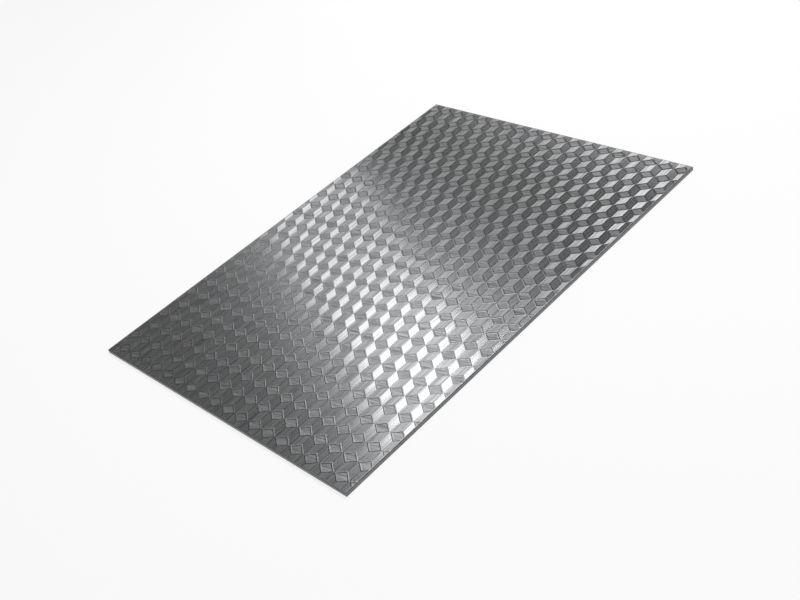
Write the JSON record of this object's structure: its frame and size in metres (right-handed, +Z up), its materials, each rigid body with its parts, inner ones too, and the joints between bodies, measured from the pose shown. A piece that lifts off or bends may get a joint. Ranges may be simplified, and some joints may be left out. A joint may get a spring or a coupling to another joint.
{
  "type": "checker steel plate",
  "caption": "Flat cut blank of stainless checker plate, with a low tumbling-cube relief on its top face and a brushed grain along its length.",
  "frame": {"origin": "centre of the flat underside, which rests on the floor", "axes": "+X along the length, which is the direction of the brushed grain; +Y along the width; +Z up, out of the patterned face"},
  "size_m": [0.7, 0.5, 0.006],
  "materials": {
    "brushed_stainless": "brushed along the length, with low cube relief pressed into the top face"
  },
  "bodies": {
    "root": {"checker_plate": "brushed_stainless"}
  },
  "joints": []
}
